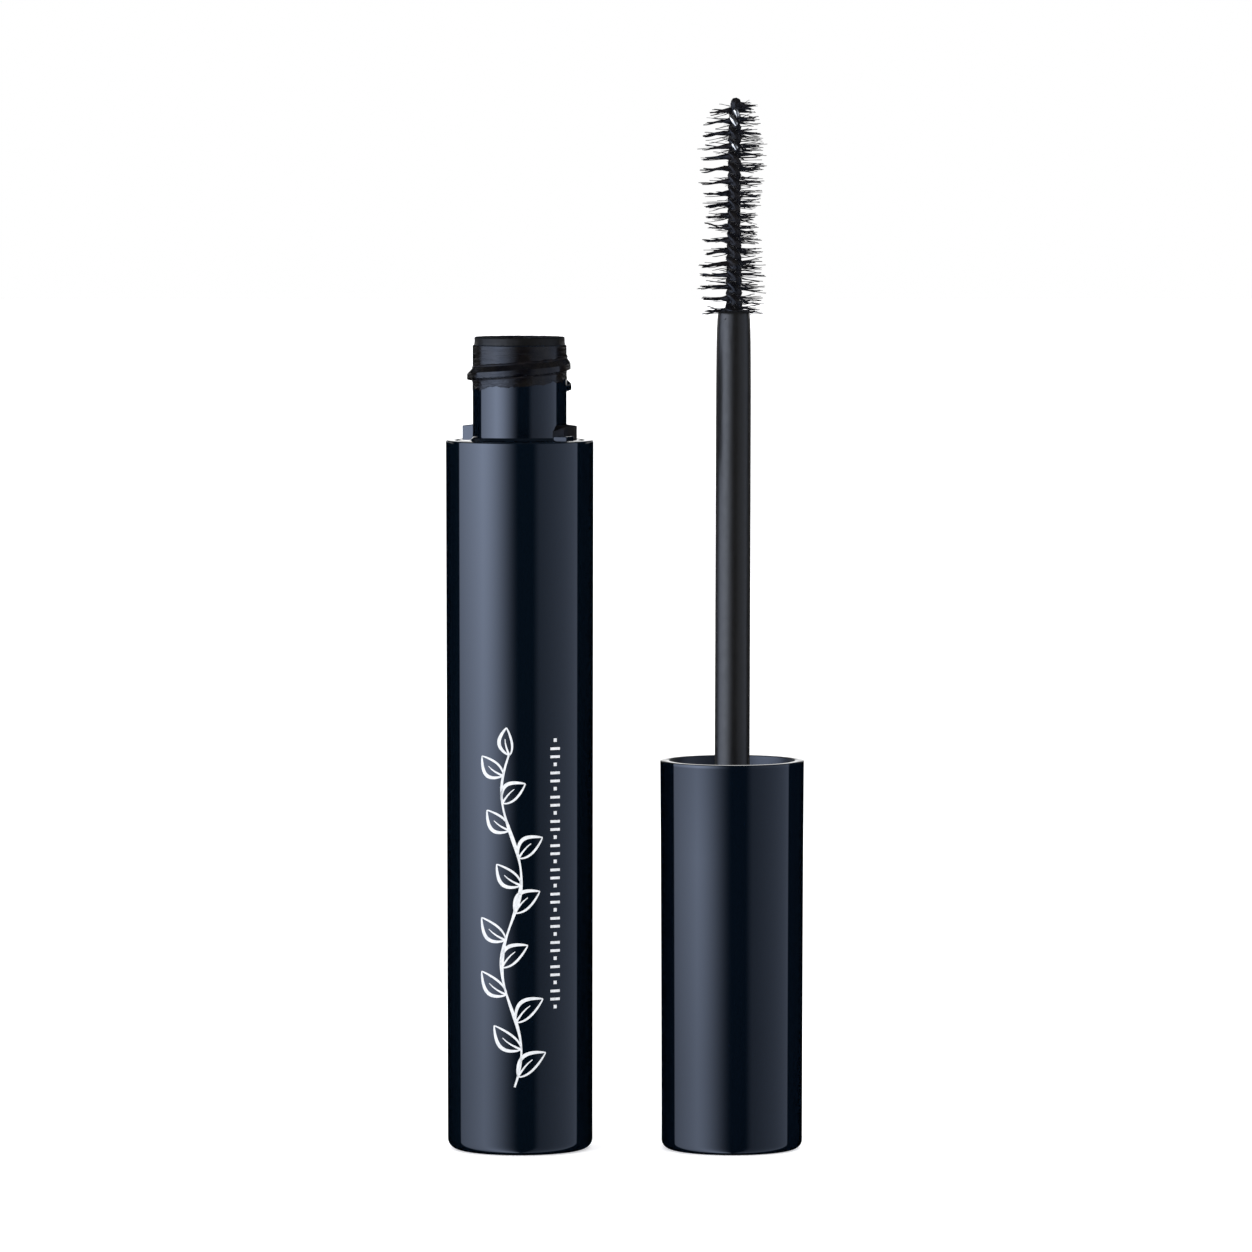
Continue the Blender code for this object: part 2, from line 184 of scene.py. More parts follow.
def tapered_tubes(name, strands, sides=6):
    """Many closed tubes in one mesh.  A strand is a list of (point, width, height), in mm."""
    verts = []
    faces = []
    for strand in strands:
        first = len(verts)
        count = len(strand)
        for i, (point, width, height) in enumerate(strand):
            before = strand[max(i - 1, 0)][0]
            after = strand[min(i + 1, count - 1)][0]
            along = (after - before).normalized()
            side = along.cross(Vector((0.0, 0.0, 1.0)))
            if side.length < 0.05:
                side = along.cross(Vector((1.0, 0.0, 0.0)))
            side.normalize()
            up = side.cross(along)
            for j in range(sides):
                angle = 2.0 * math.pi * j / sides
                offset = side * (width * math.cos(angle)) + up * (height * math.sin(angle))
                verts.append((point + offset) * MM)
        for i in range(count - 1):
            a, b = first + i * sides, first + (i + 1) * sides
            for j in range(sides):
                k = (j + 1) % sides
                faces.append((a + j, a + k, b + k, b + j))
        last = first + (count - 1) * sides
        faces.append(tuple(first + j for j in reversed(range(sides))))
        faces.append(tuple(last + j for j in range(sides)))
    mesh = bpy.data.meshes.new(name)
    mesh.from_pydata(verts, [], faces)
    smooth(mesh, 60.0)
    return mesh


def clamp01(value):
    """Holds a value between 0 and 1."""
    return max(0.0, min(1.0, value))


def ease(value):
    """A smooth step from 0 to 1."""
    value = clamp01(value)
    return value * value * (3.0 - 2.0 * value)


def rough(x, y, z, scale, seed=0.0):
    """Smooth noise between about -1 and 1."""
    return noise.noise(Vector((x * scale + seed, y * scale - seed, z * scale + 0.5 * seed)))


# ---------------------------------------------------------------- materials

class Shader:
    """A Principled material with a few short ways to add procedural detail."""

    def __init__(self, name, colour, roughness, metallic=0.0, shine=0.5):
        self.material = bpy.data.materials.new(name)
        self.material.use_nodes = True
        self.nodes = self.material.node_tree.nodes
        self.links = self.material.node_tree.links
        self.main = self.nodes["Principled BSDF"]
        self.main.inputs["Base Color"].default_value = (*colour, 1.0)
        self.main.inputs["Roughness"].default_value = roughness
        self.main.inputs["Metallic"].default_value = metallic
        self.main.inputs["Specular IOR Level"].default_value = shine
        self.place = self.nodes.new("ShaderNodeTexCoord").outputs["Object"]

    def noise(self, scale, detail=4.0, stretch=(1.0, 1.0, 1.0)):
        """Noise in the object's own space, finer along an axis with a larger stretch."""
        mapping = self.nodes.new("ShaderNodeMapping")
        mapping.inputs["Scale"].default_value = stretch
        self.links.new(self.place, mapping.inputs["Vector"])
        texture = self.nodes.new("ShaderNodeTexNoise")
        texture.inputs["Scale"].default_value = scale
        texture.inputs["Detail"].default_value = detail
        self.links.new(mapping.outputs["Vector"], texture.inputs["Vector"])
        return texture.outputs["Fac"]

    def ramp(self, source, stops):
        """A colour or a plain number by position."""
        ramp = self.nodes.new("ShaderNodeValToRGB")
        elements = ramp.color_ramp.elements
        while len(elements) < len(stops):
            elements.new(0.5)
        for element, (position, value) in zip(elements, stops):
            element.position = position
            colour = value if isinstance(value, tuple) else (value, value, value)
            element.color = (*colour, 1.0)
        self.links.new(source, ramp.inputs["Fac"])
        return ramp.outputs["Color"]

    def drive(self, socket, source):
        """Lets a texture set one of the shader's sockets."""
        self.links.new(source, self.main.inputs[socket])

    def bump(self, source, distance_mm, strength=1.0):
        """Fine relief from a texture."""
        bump = self.nodes.new("ShaderNodeBump")
        bump.inputs["Distance"].default_value = distance_mm * MM
        bump.inputs["Strength"].default_value = strength
        self.links.new(source, bump.inputs["Height"])
        self.links.new(bump.outputs["Normal"], self.main.inputs["Normal"])


def gloss_plastic(name, colour, roughness, axis_mm=0.0, bore_mm=0.0):
    """Polished moulding: faint long streaks in its gloss and the lightest orange peel.

    Inside bore_mm from the axis the wall is left unpolished.
    """
    shader = Shader(name, colour, roughness)
    nodes, links = shader.nodes, shader.links
    streaks = shader.noise(900.0, 3.0, (1.0, 1.0, 0.05))
    outside = shader.ramp(streaks, ((0.3, roughness * 0.75), (0.7, roughness * 1.35)))

    def vector_step(operation, source, other=(0.0, 0.0, 0.0)):
        node = nodes.new("ShaderNodeVectorMath")
        node.operation = operation
        node.inputs[1].default_value = other
        links.new(source, node.inputs[0])
        return node

    from_axis = vector_step("SUBTRACT", shader.place, (axis_mm * MM, 0.0, 0.0))
    level = vector_step("MULTIPLY", from_axis.outputs[0], (1.0, 1.0, 0.0))
    distance = vector_step("LENGTH", level.outputs[0])
    inside = nodes.new("ShaderNodeMath")
    inside.operation = "LESS_THAN"
    inside.inputs[1].default_value = bore_mm * MM
    links.new(distance.outputs["Value"], inside.inputs[0])
    mix = nodes.new("ShaderNodeMix")
    mix.data_type = "FLOAT"
    links.new(inside.outputs[0], mix.inputs["Factor"])
    links.new(outside, mix.inputs["A"])
    mix.inputs["B"].default_value = UNPOLISHED
    shader.drive("Roughness", mix.outputs["Result"])
    shader.bump(shader.noise(260.0, 2.0, (1.0, 1.0, 0.35)), 0.002, 0.5)
    return shader.material


def satin_plastic(name, colour, roughness, shine=0.5, grain_mm=0.01):
    """Fine-grained matte moulding."""
    shader = Shader(name, colour, roughness, shine=shine)
    shader.main.inputs["Specular Tint"].default_value = (1.0, 0.92, 0.80, 1.0)
    grain = shader.noise(1500.0, 5.0)
    shader.drive("Roughness", shader.ramp(grain, ((0.3, roughness * 0.85), (0.7, roughness * 1.15))))
    shader.bump(grain, grain_mm, 0.6)
    return shader.material


def paste_material(name, wet_roughness, dry_roughness, shine, bump_mm):
    """Mascara paste: shinier where it is thick, matte brown-black where it has dried."""
    shader = Shader(name, (0.004, 0.004, 0.005), wet_roughness, shine=shine)
    patches = shader.noise(700.0, 6.0, (1.0, 1.0, 1.6))
    stops = ((0.35, wet_roughness), (0.62, dry_roughness))
    shader.drive("Roughness", shader.ramp(patches, stops))
    tones = ((0.35, (0.002, 0.002, 0.003)), (0.7, (0.008, 0.006, 0.005)))
    shader.drive("Base Color", shader.ramp(patches, tones))
    shader.bump(shader.noise(1800.0, 5.0), bump_mm, 0.8)
    return shader.material


def film_material():
    """A thin wiped film of dried paste, with fine level streaks in its shine."""
    shader = Shader("paste_film", (0.002, 0.002, 0.002), 0.22, shine=0.25)
    streaks = shader.noise(420.0, 5.0, (1.0, 1.0, 9.0))
    shader.drive("Roughness", shader.ramp(streaks, ((0.35, 0.10), (0.65, 0.32))))
    tones = ((0.3, (0.001, 0.001, 0.002)), (0.75, (0.007, 0.006, 0.005)))
    shader.drive("Base Color", shader.ramp(shader.noise(600.0, 5.0), tones))
    shader.bump(shader.noise(900.0, 5.0, (1.0, 1.0, 3.0)), 0.012, 0.7)
    return shader.material


def steel_material():
    """Drawn steel wire, with scratches across its length."""
    shader = Shader("drawn_wire", (0.66, 0.60, 0.50), 0.24, metallic=1.0)
    scratches = shader.noise(5000.0, 2.0, (1.0, 1.0, 0.2))
    shader.drive("Roughness", shader.ramp(scratches, ((0.3, 0.14), (0.7, 0.32))))
    return shader.material


def fibre_material():
    """Black nylon, duller where paste coats it."""
    shader = Shader("nylon_fibre", (0.004, 0.004, 0.004), 0.42, shine=0.14)
    coated = shader.noise(900.0, 3.0)
    tones = ((0.4, (0.002, 0.002, 0.003)), (0.65, (0.008, 0.006, 0.006)))
    shader.drive("Base Color", shader.ramp(coated, tones))
    shader.drive("Roughness", shader.ramp(coated, ((0.4, 0.3), (0.65, 0.5))))
    return shader.material


def print_material():
    """White screen-print ink, a little uneven in tone."""
    shader = Shader("white_ink", (0.55, 0.56, 0.58), 0.45)
    grain = shader.noise(2600.0, 4.0)
    tones = ((0.3, (0.47, 0.49, 0.50)), (0.7, (0.62, 0.63, 0.65)))
    shader.drive("Base Color", shader.ramp(grain, tones))
    shader.bump(grain, 0.004, 0.5)
    return shader.material


navy = gloss_plastic("navy_gloss", (0.0010, 0.0026, 0.0052), 0.035, 0.0, 7.45)
cap_navy = gloss_plastic("cap_navy_gloss", (0.0010, 0.0024, 0.0050), 0.03, CAP_X, 7.3)
neck_navy = gloss_plastic("neck_navy_gloss", (0.0011, 0.0026, 0.0052), 0.06)
rod_black = satin_plastic("rod_satin", (0.0045, 0.0045, 0.0046), 0.35)
inner_black = satin_plastic("inner_satin", (0.008, 0.008, 0.009), 0.42, 0.35)
wiper_black = satin_plastic("wiper_matte", (0.003, 0.003, 0.003), 0.42, 0.22, 0.03)
seal_grey = satin_plastic("seal_foam", (0.16, 0.16, 0.17), 0.7, 0.3, 0.05)
wet_paste = paste_material("wet_paste", 0.28, 0.5, 0.22, 0.02)
dry_paste = paste_material("dry_paste", 0.4, 0.7, 0.18, 0.03)
paste_film = film_material()
steel = steel_material()
fibre = fibre_material()
white_ink = print_material()


# ---------------------------------------------------------------- bottle

def make_sleeve():
    """The tall outer sleeve: slight draft, rounded base edge, a thin polished rim."""
    bore_r = 7.3
    fillet = 1.2
    rim = 0.15
    profile = [(0.0, 1.3), (bore_r - 0.1, 1.3), (bore_r, RIM_Z - 0.4)]
    profile += arc(bore_r + rim, RIM_Z - rim, rim, 180.0, 90.0, 4)
    profile += arc(SLEEVE_R - rim, RIM_Z - rim, rim, 90.0, 0.0, 5)
    for share in (0.006, 0.25, 0.5, 0.75, 0.985):
        z = RIM_Z - rim + (fillet - RIM_Z + rim) * share
        profile.append((SLEEVE_R + (SLEEVE_BASE_R - SLEEVE_R) * share, z))
    profile += arc(SLEEVE_BASE_R - fillet, fillet, fillet, 0.0, -90.0, 14)
    profile += [(SLEEVE_BASE_R - fillet - 0.4, 0.0), (0.0, 0.0)]
    mesh = turned("sleeve_shell", profile, 256)
    link("sleeve_shell", mesh, navy, "bottle", ["bottle_sleeve"])


def ridge_lift(azimuth, z):
    """How far the neck's thread stands out: a buttress ridge, flat below and sloped above."""
    lift = 0.0
    for turn in (-1, 0, 1):
        phase = azimuth + 360.0 * turn
        if not RIDGE_START <= phase <= RIDGE_STOP:
            continue
        above = z - (RIDGE_Z + THREAD_PITCH * phase / 360.0)
        runout = ease(min(phase - RIDGE_START, RIDGE_STOP - phase) / 26.0)
        stand_out = 0.64 - 0.18 * clamp01((phase - 180.0) / 180.0)
        lower_flank = clamp01((above + 0.48) / 0.10)
        upper_flank = clamp01((0.95 - above) / 0.66)
        lift = max(lift, stand_out * runout * min(ease(lower_flank), upper_flank))
    return lift


def neck_surface(azimuth, r, z):
    """Adds the thread to the neck's straight wall."""
    low, high = RIM_Z + 0.9, NECK_TOP - 0.25
    if r > NECK_R - 0.05 and low < z < high and r < NECK_R + 0.4:
        r += ridge_lift(azimuth, z)
    return r, z


def make_neck():
    """The inner bottle: its threaded neck and shoulder, and the plain body below them."""
    bore_r = 6.3
    body_r = 7.0
    shoulder_low = RIM_Z - 1.4
    rows = 170
    low, high = RIM_Z + 0.5, NECK_TOP - 0.14
    body_top = shoulder_low - 1.7
    profile = [(bore_r, body_top), (NECK_BORE_R, RIM_Z - 1.3),
               (NECK_BORE_R, NECK_TOP - 0.1), (NECK_BORE_R + 0.1, NECK_TOP)]
    profile += arc(NECK_R - 0.14, NECK_TOP - 0.14, 0.14, 90.0, 0.0, 4)
    profile += [(NECK_R, high + (low - high) * i / rows) for i in range(1, rows)]
    profile += arc(NECK_R + 0.5, RIM_Z + 0.5, 0.5, 180.0, 270.0, 8)
    profile += [(NECK_R + 0.62, RIM_Z), (SHOULDER_R - 0.1, RIM_Z), (SHOULDER_R, RIM_Z - 0.1),
                (SHOULDER_R, RIM_Z - 1.2), (body_r, shoulder_low), (body_r, body_top)]
    mesh = turned("threaded_neck", profile, 300, change=neck_surface, loop=True)
    link("threaded_neck", mesh, neck_navy, "bottle", ["reservoir"], mirrored=True)
    profile = [(0.0, 3.2), (bore_r - 0.8, 3.2), (bore_r, 4.0), (bore_r, body_top),
               (body_r, body_top), (body_r, 2.2), (body_r - 0.6, 1.6), (0.0, 1.6)]
    mesh = turned("reservoir_body", profile, 96)
    link("reservoir_body", mesh, neck_navy, "bottle")


def stop_lug(name, corners, low_z, tops, material):
    """A lug on the shoulder: a prism on a plan outline with its own height at each corner."""
    shape = bmesh.new()
    lower = [shape.verts.new((x * MM, y * MM, low_z * MM)) for x, y in corners]
    upper = [shape.verts.new((x * MM, y * MM, top * MM)) for (x, y), top in zip(corners, tops)]
    count = len(corners)
    for i in range(count):
        j = (i + 1) % count
        shape.faces.new((lower[i], lower[j], upper[j], upper[i]))
    shape.faces.new(lower[::-1])
    shape.faces.new(upper)
    bmesh.ops.recalc_face_normals(shape, faces=shape.faces)
    mesh = from_bmesh(name, shape, 20.0)
    lug = link(name, mesh, material, "bottle")
    bevel = lug.modifiers.new("Edge", "BEVEL")
    bevel.width = 0.07 * MM
    bevel.segments = 3
    bevel.limit_method = "ANGLE"
    bevel.angle_limit = math.radians(30.0)


def lug_outline(outer_r, outer_from, outer_to, inner_from, inner_to):
    """Plan outline of a lug between the neck's wall and an outer radius, angles in degrees."""
    inner_r = NECK_R - BURIED
    steps = 10
    points = []
    for r, first, last in ((outer_r, outer_from, outer_to), (inner_r, inner_to, inner_from)):
        for i in range(steps + 1):
            points.append(around(r, first + (last - first) * i / steps))
    return points


def make_lugs():
    """Two stop lugs half a turn apart, and the low step in front of the nearer one."""
    height = 1.66
    for name, turn, start, material in (("stop_lug_front", 0.0, -38.0, dry_paste),
                                        ("stop_lug_back", 180.0, -48.0, neck_navy)):
        outline = lug_outline(6.62, turn + start, turn - 4.0, turn - 47.0, turn + 5.5)
        tops = []
        for x, y in outline:
            inward = 1.0 - clamp01((math.hypot(x, y) - NECK_R) / 1.2)
            from_start = math.degrees(math.atan2(y, x)) - (turn - 48.0)
            from_start = (from_start + 180.0) % 360.0 - 180.0
            ramp = 0.35 + 0.65 * clamp01(from_start / 5.0)
            tops.append(RIM_Z + height * ramp + 0.18 * inward)
        stop_lug(name, outline, RIM_Z - 0.3, tops, material)
    step = ((3.95, -3.86), (5.44, -4.28), (6.25, -3.0), (5.0, -2.4), (3.7, -3.4))
    stop_lug("lug_step", step, RIM_Z - 0.2, [RIM_Z + 0.54] * 5, neck_navy)


def make_thread_grime():
    """Black paste packed into the corners above and below the thread."""
    strands = []
    steps = 180
    ends = 8.0
    for offset, width, height in ((0.98, 0.16, 0.20), (-0.58, 0.12, 0.12)):
        points = []
        for i in range(steps + 1):
            phase = ends + (RIDGE_STOP - 2.0 * ends) * i / steps
            angle = math.radians(phase)
            z = RIDGE_Z + THREAD_PITCH * phase / 360.0 + offset
            wobble = rough(math.cos(angle) * 5.0, math.sin(angle) * 5.0, z, 1.6, 4.0)
            out = Vector((math.cos(angle), math.sin(angle), 0.0))
            size = 1.0 + 0.35 * wobble
            height_z = min(z, NECK_TOP - 0.3) + 0.05 * wobble
            point = out * (NECK_R - 0.04) + Vector((0.0, 0.0, height_z))
            points.append((point, width * size, height * size))
        strands.append(points)
    mesh = tapered_tubes("thread_grime", strands, sides=8)
    link("thread_grime", mesh, fibre, "bottle")


def make_neck_smears():
    """Dried paste on the neck: a thin film above the thread and a crust in its shadow."""
    low, high = 86.6, NECK_TOP - 0.1
    rows = 96
    buried_r = NECK_R - BURIED
    profile = [(NECK_R, high + (low - high) * i / rows) for i in range(rows + 1)]
    profile += [(buried_r, low), (buried_r, high)]

    def film(azimuth, r, z):
        if r <= buried_r:
            return r, z
        px, py = around(NECK_R, azimuth)
        turn = azimuth if azimuth > 100.0 else azimuth + 360.0
        below = RIDGE_Z + THREAD_PITCH * turn / 360.0 - z
        ragged = 0.30 * rough(px, py, z * 0.3, 0.55, 3.0) + 0.16 * rough(px, py, z, 2.2, 9.0)
        covered = below < 1.62 + ragged
        streak = 0.5 + 0.5 * rough(px * 0.35, py * 0.35, z * 4.0, 1.0, 5.0)
        grain = 0.5 + 0.5 * rough(px, py, z, 5.0, 1.0)
        crust = 0.03 * clamp01(below / 0.5) * grain
        thickness = 0.004 + 0.010 * streak + 0.006 * grain + crust
        return r + ridge_lift(azimuth, z) + (thickness if covered else -0.06), z

    mesh = turned("neck_smears", profile, 260, change=film, loop=True, sharp_deg=70.0)
    link("neck_smears", mesh, paste_film, "bottle")


def make_wiper():
    """The soft wiper: flange on the lip, mouth, and a cone down to its orifice."""
    orifice_r, mouth_r = 2.25, 3.7
    plug_r = NECK_BORE_R - 0.2
    profile = [(orifice_r, 82.4), (orifice_r, 82.9)]
    profile += [(orifice_r + (mouth_r - orifice_r) * i / 8, 82.9 + 4.0 * i / 8) for i in range(1, 9)]
    profile += [(mouth_r, 86.9 + (LIP_TOP - 0.4 - 86.9) * i / 12) for i in range(1, 13)]
    profile += arc(mouth_r + 0.4, LIP_TOP - 0.4, 0.4, 180.0, 90.0, 5)[1:]
    profile += [(mouth_r + 0.6, LIP_TOP), (mouth_r + 0.85, LIP_TOP)]
    profile += arc(LIP_R - 0.16, LIP_TOP - 0.16, 0.16, 90.0, 0.0, 4)
    profile += [(LIP_R, LIP_TOP - 0.16 - 0.08 * i) for i in range(1, 8)]
    profile += [(LIP_R + 0.04, NECK_TOP + 0.1), (LIP_R + 0.04, NECK_TOP - 0.02),
                (plug_r, NECK_TOP - 0.02), (plug_r, 86.5), (orifice_r + 0.45, 82.4)]

    def stained(azimuth, r, z):
        px, py = around(r, azimuth)
        if z < NECK_TOP + 0.15 and r > mouth_r + 0.1:
            return r, z
        lumps = 0.5 + 0.5 * rough(px, py, z, 1.3, 2.0)
        grain = 0.5 + 0.5 * rough(px, py, z, 4.5, 7.0)
        build_up = 0.06 * lumps * lumps + 0.035 * grain
        if z > LIP_TOP - 0.2:
            return r, z - 0.14 + build_up
        outward = 1.0 if r > mouth_r + 0.5 else -1.0
        return r + outward * (build_up - 0.03), z

    mesh = turned("wiper_insert", profile, 220, change=stained, loop=True, sharp_deg=50.0)
    link("wiper_insert", mesh, wiper_black, "bottle", ["wiper"])


# ---------------------------------------------------------------- printed ornament

def on_sleeve(s, z, lift):
    """A point on the sleeve's front: s runs to the right along the surface from its middle."""
    share = (RIM_Z - z) / RIM_Z
    radius = SLEEVE_R + (SLEEVE_BASE_R - SLEEVE_R) * share + lift
    angle = s / SLEEVE_R - math.pi / 2.0
    return Vector((radius * math.cos(angle), radius * math.sin(angle), z)) * MM


def ink_patch(shape, rows):
    """A thin closed patch of ink through rows of (s, z) points."""
    outer = [[shape.verts.new(on_sleeve(s, z, 0.018)) for s, z in row] for row in rows]
    inner = [[shape.verts.new(on_sleeve(s, z, -0.03)) for s, z in row] for row in rows]
    across = len(rows[0])
    for i in range(len(rows) - 1):
        for j in range(across - 1):
            shape.faces.new((outer[i][j], outer[i][j + 1], outer[i + 1][j + 1], outer[i + 1][j]))
            shape.faces.new((inner[i][j], inner[i + 1][j], inner[i + 1][j + 1], inner[i][j + 1]))
        for j, flip in ((0, False), (across - 1, True)):
            quad = [outer[i][j], outer[i + 1][j], inner[i + 1][j], inner[i][j]]
            shape.faces.new(quad[::-1] if flip else quad)
    for i, flip in ((0, True), (len(rows) - 1, False)):
        for j in range(across - 1):
            quad = [outer[i][j], outer[i][j + 1], inner[i][j + 1], inner[i][j]]
            shape.faces.new(quad if flip else quad[::-1])


def ink_stroke(shape, points, widths):
    """A pen stroke through (s, z) points with a width at each."""
    rows = []
    for i, point in enumerate(points):
        along = points[min(i + 1, len(points) - 1)] - points[max(i - 1, 0)]
        along.normalize()
        aside = Vector((-along.y, along.x)) * (widths[i] / 2.0)
        rows.append([tuple(point + aside * side) for side in (-1.0, -0.33, 0.33, 1.0)])
    ink_patch(shape, rows)


def ink_leaf(shape, s, z, heading_deg, length, width):
    """A leaf drawn as two bowed pen strokes that meet at its tip, and a short midrib."""
    heading = math.radians(heading_deg)
    along = Vector((math.cos(heading), math.sin(heading)))
    aside = Vector((-along.y, along.x))
    start = Vector((s, z))
    steps = 16
    for side, pen in ((1.0, 0.42), (-1.0, 0.26)):
        points, widths = [], []
        for i in range(steps + 1):
            t = i / steps
            swell = width / 2.0 * math.sin(math.pi * t ** 0.85) ** 0.9
            bow = 0.10 * length * math.sin(math.pi * t)
            points.append(start + along * (length * t) + aside * (bow + side * swell))
            widths.append(0.12 + (pen - 0.12) * math.sin(math.pi * t) ** 0.7)
        ink_stroke(shape, points, widths)
    rib = [start + along * (length * t) + aside * (0.10 * length * math.sin(math.pi * t))
           for t in (0.0, 0.15, 0.3, 0.45, 0.6)]
    ink_stroke(shape, rib, (0.26, 0.22, 0.18, 0.14, 0.08))


def stem_point(z):
    """How far right the sprig's stem runs at a height."""
    return -0.9 + 1.15 * math.sin((z - 7.0) * 2.0 * math.pi / 20.0)


def make_ornament():
    """A plain leafy sprig with a column of ticks and dots beside it, printed in white."""
    shape = bmesh.new()
    low, high = 8.0, 46.4
    steps = 90
    points, widths = [], []
    for i in range(steps + 1):
        z = low + (high - low) * i / steps
        points.append(Vector((stem_point(z), z)))
        widths.append(0.22 + 0.30 * (0.5 + 0.5 * math.sin(z * 0.9)) * math.sin(math.pi * i / steps))
    ink_stroke(shape, points, widths)
    for i in range(12):
        z = 9.2 + 3.15 * i
        side = 1.0 if i % 2 == 0 else -1.0
        heading = 90.0 - side * 50.0
        ink_leaf(shape, stem_point(z), z, heading, 4.3 - 0.08 * i, 1.9)
    ink_leaf(shape, stem_point(high), high - 0.2, 96.0, 3.2, 1.5)
    for i in range(34):
        z = 17.0 + 0.93 * i
        half, tall = (0.62, 0.30) if i % 3 else (0.20, 0.40)
        ink_stroke(shape, [Vector((4.35, z + tall * share)) for share in (0.0, 0.33, 0.67, 1.0)],
                   [2.0 * half] * 4)
    bmesh.ops.recalc_face_normals(shape, faces=shape.faces)
    mesh = from_bmesh("printed_sprig", shape, 40.0)
    link("printed_sprig", mesh, white_ink, "bottle")


# ---------------------------------------------------------------- cap

def make_cap_shell():
    """The glossy cap, closed end down, with its thin flat rim."""
    fillet = 1.0
    rim = 0.06
    profile = [(0.0, 1.4), (CAP_BORE_R - 0.1, 1.4), (CAP_BORE_R, CAP_TOP - 0.5)]
    profile += arc(CAP_BORE_R + rim, CAP_TOP - rim, rim, 180.0, 90.0, 4)
    profile += arc(CAP_RIM_R - rim, CAP_TOP - rim, rim, 90.0, 0.0, 5)
    for share in (0.008, 0.25, 0.5, 0.75, 0.98):
        z = CAP_TOP - rim + (fillet - CAP_TOP + rim) * share
        drop = share ** 0.6
        profile.append((CAP_RIM_R + (CAP_END_R - CAP_RIM_R) * drop, z))
    profile += arc(CAP_END_R - fillet, fillet, fillet, 0.0, -90.0, 14)
    profile += [(CAP_END_R - fillet - 0.4, 0.0), (0.0, 0.0)]
    mesh = turned("cap_gloss_shell", profile, 256, x=CAP_X)
    link("cap_gloss_shell", mesh, cap_navy, "cap", ["cap_shell"])


def tooth_lift(azimuth, r, z):
    """Two stop teeth rise from the skirt's edge."""
    if z < SKIRT_EDGE - 0.05:
        return r, z
    for start_deg in (125.0, -55.0 + 360.0, -55.0):
        inside = min(azimuth - start_deg, start_deg + 58.0 - azimuth)
        if inside > 0.0:
            return r, z + 0.9 * ease(inside / 1.5)
    return r, z


def make_inner_cap():
    """The inner plug: threaded skirt, plate and the boss that holds the rod."""
    boss_bore_r = ROD_R + 0.28
    plate_top, plate_low = 31.95, 30.3
    profile = [(0.0, inner_low.z + 0.9), (boss_bore_r, inner_low.z + 0.9), (boss_bore_r, plate_top),
               (SKIRT_BORE_R - 0.2, plate_top), (SKIRT_BORE_R, plate_top + 0.2)]
    profile += [(SKIRT_BORE_R, plate_top + 0.2 + (SKIRT_EDGE - 0.4 - plate_top) * i / 60)
                for i in range(1, 60)]
    profile += arc(SKIRT_BORE_R + 0.08, SKIRT_EDGE - 0.08, 0.08, 180.0, 90.0, 3)
    profile += arc(SKIRT_R - 0.08, SKIRT_EDGE - 0.08, 0.08, 90.0, 0.0, 3)
    profile += [(SKIRT_R, SKIRT_EDGE - 0.3), (SKIRT_R, plate_low), (3.4, plate_low),
                (3.3, inner_low.z), (0.0, inner_low.z)]

    def shape(azimuth, r, z):
        if abs(r - SKIRT_BORE_R) < 0.01 and z < SKIRT_EDGE - 0.5:
            for turn in (-1, 0):
                phase = azimuth + 360.0 * turn
                if -185.0 <= phase <= 115.0:
                    above = z - (39.05 + THREAD_PITCH * phase / 360.0)
                    runout = ease(min(phase + 185.0, 115.0 - phase) / 26.0)
                    r -= 0.46 * runout * clamp01((0.5 - abs(above)) / 0.22)
            return r, z
        return tooth_lift(azimuth, r, z)

    mesh = turned("inner_plug", profile, 240, x=CAP_X, change=shape)
    link("inner_plug", mesh, inner_black, "cap", ["inner_cap"])


def rod_lean(z):
    """The rod leans a hair to the right as it rises from the cap."""
    return ROD_LEAN * clamp01((z - 40.0) / (ROD_TOP - 40.0))


def make_rod():
    """The stem, with a rounded end and a film of paste that thickens near the brush."""
    bore_r = 0.74
    profile = [(0.0, ROD_TOP - 6.3), (bore_r, ROD_TOP - 6.3), (bore_r, ROD_TOP)]
    profile += arc(ROD_R - 0.19 - 0.42, ROD_TOP - 0.42, 0.42, 90.0, 8.0, 7)
    top = ROD_TOP - 0.5
    rows = 120
    for i in range(rows + 1):
        z = top + (36.9 - top) * i / rows
        narrow = 0.17 * math.exp(-(top - z) / 2.6)
        profile.append((ROD_R - narrow, z))
    profile += [(ROD_R, 33.05), (2.75, 32.95), (2.75, 32.25), (ROD_R, 32.25), (ROD_R, rod_low.z + 0.3),
                (ROD_R - 0.3, rod_low.z), (0.0, rod_low.z)]

    def film(azimuth, r, z):
        if r < ROD_R - 0.3 or z < 37.0:
            return r, z
        px, py = around(r, azimuth)
        near_brush = math.exp(-(ROD_TOP - z) / 14.0)
        wave = rough(px, py, z * 0.25, 1.2, 4.0)
        grain = rough(px, py, z * 0.6, 3.5, 8.0)
        return r + (0.004 + 0.014 * near_brush) * wave + (0.002 + 0.008 * near_brush) * grain, z

    mesh = turned("rod_stem", profile, 120, x=CAP_X, change=film)
    for vertex in mesh.vertices:
        vertex.co.x += rod_lean(vertex.co.z / MM) * MM
    link("rod_stem", mesh, rod_black, "stem", ["rod"])


# ---------------------------------------------------------------- brush

def lean(z):
    """Sideways lean of the brush at a height, which goes on from the rod's."""
    above = clamp01((z - ROD_TOP) / (TIP_TOP - ROD_TOP))
    return rod_lean(z) + (BRUSH_LEAN - ROD_LEAN) * above


